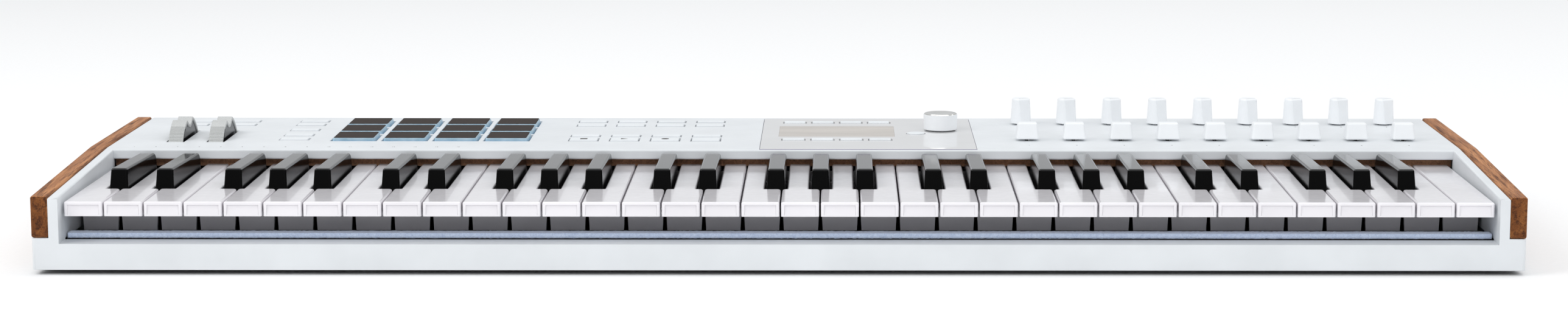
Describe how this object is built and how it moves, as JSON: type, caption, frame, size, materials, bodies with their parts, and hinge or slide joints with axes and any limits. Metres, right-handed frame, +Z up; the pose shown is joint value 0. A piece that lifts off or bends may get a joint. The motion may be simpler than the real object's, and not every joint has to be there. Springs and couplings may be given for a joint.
{
  "type": "synthesizer keyboard controller",
  "caption": "Synthesizer keyboard controller with hinged piano-style keys, thumb wheels, drum pads, screen, push encoder, knobs and faders in a white case with wooden cheeks.",
  "frame": {"origin": "on the table, under the middle of the case", "axes": "+X from the low keys to the high keys, -Y towards the player, +Z up"},
  "size_m": [0.8808, 0.292, 0.0709],
  "materials": {
    "shell": "fine satin white moulding",
    "wood": "oiled open-grain hardwood",
    "white_key": "gloss",
    "black_key": "high gloss",
    "brown_felt": "dense felt",
    "pale_felt": "fuzzy felt",
    "steel_black": "satin powder coat",
    "wheel": "silver soft-touch grip with gloss black sides",
    "pad": "matt silicone",
    "button": "satin silicone",
    "gloss_plate": "high gloss",
    "screen": "smooth screen window, switched off",
    "knob": "fine satin",
    "encoder_metal": "spun and polished",
    "plated": "nickel plated",
    "board": "solder mask",
    "socket": "satin",
    "foot": "matt"
  },
  "bodies": {
    "root": {"top_case": "shell", "left_wood_cheek": "wood", "right_wood_cheek": "wood", "bottom_plate": "steel_black", "foot_front_left": "foot", "foot_rear_left": "foot", "foot_front_right": "foot", "foot_rear_right": "foot", "key_stop_felt": "pale_felt", "key_back_felt": "brown_felt", "keybed_chassis": "steel_black", "wheel_bracket": "plated", "display_plate": "gloss_plate", "display_module": "screen", "panel_board": "board", "jack_socket_block": "socket", "usb_socket": "plated"},
    "keys_c_e_g_b_octave_1": {"keys_c_e_g_b_octave_1": "white_key"},
    "keys_d_f_a_octave_1": {"keys_d_f_a_octave_1": "white_key"},
    "keys_black_octave_1": {"keys_black_octave_1": "black_key"},
    "keys_c_e_g_b_octave_2": {"keys_c_e_g_b_octave_2": "white_key"},
    "keys_d_f_a_octave_2": {"keys_d_f_a_octave_2": "white_key"},
    "keys_black_octave_2": {"keys_black_octave_2": "black_key"},
    "keys_c_e_g_b_octave_3": {"keys_c_e_g_b_octave_3": "white_key"},
    "keys_d_f_a_octave_3": {"keys_d_f_a_octave_3": "white_key"},
    "keys_black_octave_3": {"keys_black_octave_3": "black_key"},
    "keys_c_e_g_b_octave_4": {"keys_c_e_g_b_octave_4": "white_key"},
    "keys_d_f_a_octave_4": {"keys_d_f_a_octave_4": "white_key"},
    "keys_black_octave_4": {"keys_black_octave_4": "black_key"},
    "keys_c_e_g_b_octave_5": {"keys_c_e_g_b_octave_5": "white_key"},
    "keys_d_f_a_octave_5": {"keys_d_f_a_octave_5": "white_key"},
    "keys_black_octave_5": {"keys_black_octave_5": "black_key"},
    "key_top_c": {"key_top_c": "white_key"},
    "knob_1": {"knob_1": "knob"},
    "knob_2": {"knob_2": "knob"},
    "knob_3": {"knob_3": "knob"},
    "knob_4": {"knob_4": "knob"},
    "knob_5": {"knob_5": "knob"},
    "knob_6": {"knob_6": "knob"},
    "knob_7": {"knob_7": "knob"},
    "knob_8": {"knob_8": "knob"},
    "knob_9": {"knob_9": "knob"},
    "fader_cap_1": {"fader_cap_1": "knob"},
    "fader_cap_2": {"fader_cap_2": "knob"},
    "fader_cap_3": {"fader_cap_3": "knob"},
    "fader_cap_4": {"fader_cap_4": "knob"},
    "fader_cap_5": {"fader_cap_5": "knob"},
    "fader_cap_6": {"fader_cap_6": "knob"},
    "fader_cap_7": {"fader_cap_7": "knob"},
    "fader_cap_8": {"fader_cap_8": "knob"},
    "fader_cap_9": {"fader_cap_9": "knob"},
    "pitch_wheel": {"pitch_wheel": "wheel"},
    "modulation_wheel": {"modulation_wheel": "wheel"},
    "pad_mat": {"pad_mat": "pad"},
    "left_button_mat": {"left_button_mat": "button"},
    "centre_button_mat": {"centre_button_mat": "button"},
    "display_button_mat": {"display_button_mat": "button"},
    "encoder_shaft": {"encoder_shaft": "plated"},
    "encoder_knob": {"encoder_knob": "encoder_metal"},
    "power_switch": {"power_switch": "socket"}
  },
  "joints": [
    {"name": "keys_c_e_g_b_octave_1_press", "type": "hinge", "parent": "root", "child": "keys_c_e_g_b_octave_1", "pos_m": [0, 0.0215, 0.035], "axis": [1, 0, 0], "range_deg": [0, 3.6], "stiffness_Nm_per_rad": 2, "springref_deg": -8.59},
    {"name": "keys_d_f_a_octave_1_press", "type": "hinge", "parent": "root", "child": "keys_d_f_a_octave_1", "pos_m": [0, 0.0215, 0.035], "axis": [1, 0, 0], "range_deg": [0, 3.6], "stiffness_Nm_per_rad": 1.5, "springref_deg": -8.59},
    {"name": "keys_black_octave_1_press", "type": "hinge", "parent": "root", "child": "keys_black_octave_1", "pos_m": [0, 0.0215, 0.035], "axis": [1, 0, 0], "range_deg": [0, 3.6], "stiffness_Nm_per_rad": 2.5, "springref_deg": -8.59},
    {"name": "keys_c_e_g_b_octave_2_press", "type": "hinge", "parent": "root", "child": "keys_c_e_g_b_octave_2", "pos_m": [0, 0.0215, 0.035], "axis": [1, 0, 0], "range_deg": [0, 3.6], "stiffness_Nm_per_rad": 2, "springref_deg": -8.59},
    {"name": "keys_d_f_a_octave_2_press", "type": "hinge", "parent": "root", "child": "keys_d_f_a_octave_2", "pos_m": [0, 0.0215, 0.035], "axis": [1, 0, 0], "range_deg": [0, 3.6], "stiffness_Nm_per_rad": 1.5, "springref_deg": -8.59},
    {"name": "keys_black_octave_2_press", "type": "hinge", "parent": "root", "child": "keys_black_octave_2", "pos_m": [0, 0.0215, 0.035], "axis": [1, 0, 0], "range_deg": [0, 3.6], "stiffness_Nm_per_rad": 2.5, "springref_deg": -8.59},
    {"name": "keys_c_e_g_b_octave_3_press", "type": "hinge", "parent": "root", "child": "keys_c_e_g_b_octave_3", "pos_m": [0, 0.0215, 0.035], "axis": [1, 0, 0], "range_deg": [0, 3.6], "stiffness_Nm_per_rad": 2, "springref_deg": -8.59},
    {"name": "keys_d_f_a_octave_3_press", "type": "hinge", "parent": "root", "child": "keys_d_f_a_octave_3", "pos_m": [0, 0.0215, 0.035], "axis": [1, 0, 0], "range_deg": [0, 3.6], "stiffness_Nm_per_rad": 1.5, "springref_deg": -8.59},
    {"name": "keys_black_octave_3_press", "type": "hinge", "parent": "root", "child": "keys_black_octave_3", "pos_m": [0, 0.0215, 0.035], "axis": [1, 0, 0], "range_deg": [0, 3.6], "stiffness_Nm_per_rad": 2.5, "springref_deg": -8.59},
    {"name": "keys_c_e_g_b_octave_4_press", "type": "hinge", "parent": "root", "child": "keys_c_e_g_b_octave_4", "pos_m": [0, 0.0215, 0.035], "axis": [1, 0, 0], "range_deg": [0, 3.6], "stiffness_Nm_per_rad": 2, "springref_deg": -8.59},
    {"name": "keys_d_f_a_octave_4_press", "type": "hinge", "parent": "root", "child": "keys_d_f_a_octave_4", "pos_m": [0, 0.0215, 0.035], "axis": [1, 0, 0], "range_deg": [0, 3.6], "stiffness_Nm_per_rad": 1.5, "springref_deg": -8.59},
    {"name": "keys_black_octave_4_press", "type": "hinge", "parent": "root", "child": "keys_black_octave_4", "pos_m": [0, 0.0215, 0.035], "axis": [1, 0, 0], "range_deg": [0, 3.6], "stiffness_Nm_per_rad": 2.5, "springref_deg": -8.59},
    {"name": "keys_c_e_g_b_octave_5_press", "type": "hinge", "parent": "root", "child": "keys_c_e_g_b_octave_5", "pos_m": [0, 0.0215, 0.035], "axis": [1, 0, 0], "range_deg": [0, 3.6], "stiffness_Nm_per_rad": 2, "springref_deg": -8.59},
    {"name": "keys_d_f_a_octave_5_press", "type": "hinge", "parent": "root", "child": "keys_d_f_a_octave_5", "pos_m": [0, 0.0215, 0.035], "axis": [1, 0, 0], "range_deg": [0, 3.6], "stiffness_Nm_per_rad": 1.5, "springref_deg": -8.59},
    {"name": "keys_black_octave_5_press", "type": "hinge", "parent": "root", "child": "keys_black_octave_5", "pos_m": [0, 0.0215, 0.035], "axis": [1, 0, 0], "range_deg": [0, 3.6], "stiffness_Nm_per_rad": 2.5, "springref_deg": -8.59},
    {"name": "key_top_c_press", "type": "hinge", "parent": "root", "child": "key_top_c", "pos_m": [0, 0.0215, 0.035], "axis": [1, 0, 0], "range_deg": [0, 3.6], "stiffness_Nm_per_rad": 0.5, "springref_deg": -8.59},
    {"name": "knob_1_turn", "type": "hinge", "parent": "root", "child": "knob_1", "pos_m": [0.1565, 0.1175, 0.0542], "axis": [0, 0, 1], "continuous": true},
    {"name": "knob_2_turn", "type": "hinge", "parent": "root", "child": "knob_2", "pos_m": [0.1869, 0.1175, 0.0542], "axis": [0, 0, 1], "continuous": true},
    {"name": "knob_3_turn", "type": "hinge", "parent": "root", "child": "knob_3", "pos_m": [0.2173, 0.1175, 0.0542], "axis": [0, 0, 1], "continuous": true},
    {"name": "knob_4_turn", "type": "hinge", "parent": "root", "child": "knob_4", "pos_m": [0.2477, 0.1175, 0.0542], "axis": [0, 0, 1], "continuous": true},
    {"name": "knob_5_turn", "type": "hinge", "parent": "root", "child": "knob_5", "pos_m": [0.2781, 0.1175, 0.0542], "axis": [0, 0, 1], "continuous": true},
    {"name": "knob_6_turn", "type": "hinge", "parent": "root", "child": "knob_6", "pos_m": [0.3085, 0.1175, 0.0542], "axis": [0, 0, 1], "continuous": true},
    {"name": "knob_7_turn", "type": "hinge", "parent": "root", "child": "knob_7", "pos_m": [0.3389, 0.1175, 0.0542], "axis": [0, 0, 1], "continuous": true},
    {"name": "knob_8_turn", "type": "hinge", "parent": "root", "child": "knob_8", "pos_m": [0.3693, 0.1175, 0.0542], "axis": [0, 0, 1], "continuous": true},
    {"name": "knob_9_turn", "type": "hinge", "parent": "root", "child": "knob_9", "pos_m": [0.3997, 0.1175, 0.0542], "axis": [0, 0, 1], "continuous": true},
    {"name": "fader_cap_1_slide", "type": "slide", "parent": "root", "child": "fader_cap_1", "axis": [0, 1, 0], "range_m": [0, 0.03]},
    {"name": "fader_cap_2_slide", "type": "slide", "parent": "root", "child": "fader_cap_2", "axis": [0, 1, 0], "range_m": [0, 0.03]},
    {"name": "fader_cap_3_slide", "type": "slide", "parent": "root", "child": "fader_cap_3", "axis": [0, 1, 0], "range_m": [0, 0.03]},
    {"name": "fader_cap_4_slide", "type": "slide", "parent": "root", "child": "fader_cap_4", "axis": [0, 1, 0], "range_m": [0, 0.03]},
    {"name": "fader_cap_5_slide", "type": "slide", "parent": "root", "child": "fader_cap_5", "axis": [0, 1, 0], "range_m": [0, 0.03]},
    {"name": "fader_cap_6_slide", "type": "slide", "parent": "root", "child": "fader_cap_6", "axis": [0, 1, 0], "range_m": [0, 0.03]},
    {"name": "fader_cap_7_slide", "type": "slide", "parent": "root", "child": "fader_cap_7", "axis": [0, 1, 0], "range_m": [0, 0.03]},
    {"name": "fader_cap_8_slide", "type": "slide", "parent": "root", "child": "fader_cap_8", "axis": [0, 1, 0], "range_m": [0, 0.03]},
    {"name": "fader_cap_9_slide", "type": "slide", "parent": "root", "child": "fader_cap_9", "axis": [0, 1, 0], "range_m": [0, 0.03]},
    {"name": "pitch_wheel_turn", "type": "hinge", "parent": "root", "child": "pitch_wheel", "pos_m": [-0.3917, 0.0585, 0.0358], "axis": [1, 0, 0], "range_deg": [-38, 38], "stiffness_Nm_per_rad": 0.12},
    {"name": "modulation_wheel_turn", "type": "hinge", "parent": "root", "child": "modulation_wheel", "pos_m": [-0.366, 0.0585, 0.0358], "axis": [1, 0, 0], "range_deg": [-38, 38]},
    {"name": "pad_mat_press", "type": "slide", "parent": "root", "child": "pad_mat", "axis": [0, 0, -1], "range_m": [0, 0.0008], "stiffness_N_per_m": 4000, "springref_m": -0.001},
    {"name": "left_button_mat_press", "type": "slide", "parent": "root", "child": "left_button_mat", "axis": [0, 0, -1], "range_m": [0, 0.0006], "stiffness_N_per_m": 3000, "springref_m": -0.001},
    {"name": "centre_button_mat_press", "type": "slide", "parent": "root", "child": "centre_button_mat", "axis": [0, 0, -1], "range_m": [0, 0.0006], "stiffness_N_per_m": 3000, "springref_m": -0.001},
    {"name": "display_button_mat_press", "type": "slide", "parent": "root", "child": "display_button_mat", "axis": [0, 0, -1], "range_m": [0, 0.0006], "stiffness_N_per_m": 3000, "springref_m": -0.001},
    {"name": "encoder_press", "type": "slide", "parent": "root", "child": "encoder_shaft", "axis": [0, 0, -1], "range_m": [0, 0.0005], "stiffness_N_per_m": 2000, "springref_m": -0.001},
    {"name": "encoder_turn", "type": "hinge", "parent": "encoder_shaft", "child": "encoder_knob", "pos_m": [0.1017, 0.0885, 0.0547], "axis": [0, 0, 1], "continuous": true},
    {"name": "power_switch_slide", "type": "slide", "parent": "root", "child": "power_switch", "axis": [1, 0, 0], "range_m": [0, 0.004]}
  ]
}
